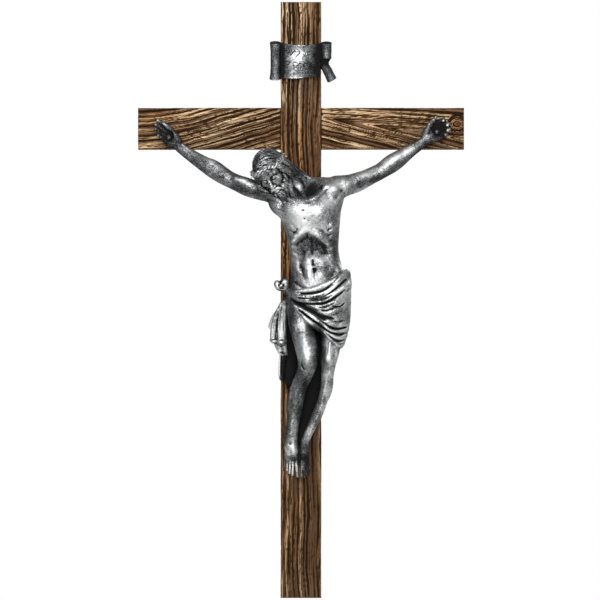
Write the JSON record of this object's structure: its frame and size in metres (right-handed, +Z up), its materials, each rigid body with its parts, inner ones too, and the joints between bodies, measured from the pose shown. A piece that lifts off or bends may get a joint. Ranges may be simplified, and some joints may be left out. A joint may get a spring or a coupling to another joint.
{
  "type": "wall crucifix",
  "caption": "Wall crucifix: a cast figure in antiqued silver colour on two halved wood beams, with a thorn crown, a hanging cloth end, a scroll, nails and a keyhole hanger behind.",
  "frame": {"origin": "centre of the crossing, on the flat wall face behind the beams", "axes": "+Z up along the upright, +Y into the wall, +X to the right of a viewer who faces the front"},
  "size_m": [0.278, 0.0773, 0.508],
  "materials": {
    "carved_wood": "deeply carved grain, dark stain in the valleys, worn tan ridges",
    "antique_silver": "antiqued white metal, black patina in the recesses, rubbed bright on the high places",
    "zinc_steel": "bright zinc plating"
  },
  "bodies": {
    "root": {"upright_beam": "carved_wood", "crossbeam": "carved_wood", "lap_screw_upper": "zinc_steel", "lap_screw_lower": "zinc_steel", "figure_body": "antique_silver", "figure_right_arm": "antique_silver", "figure_left_arm": "antique_silver", "thorn_crown": "antique_silver", "cloth_end": "antique_silver", "figure_screw_upper": "zinc_steel", "figure_screw_lower": "zinc_steel", "right_hand_nail": "antique_silver", "left_hand_nail": "antique_silver", "foot_nail": "antique_silver", "titulus_scroll": "antique_silver", "scroll_screw": "zinc_steel", "keyhole_hanger": "zinc_steel", "hanger_screw_upper": "zinc_steel", "hanger_screw_lower": "zinc_steel"}
  },
  "joints": []
}
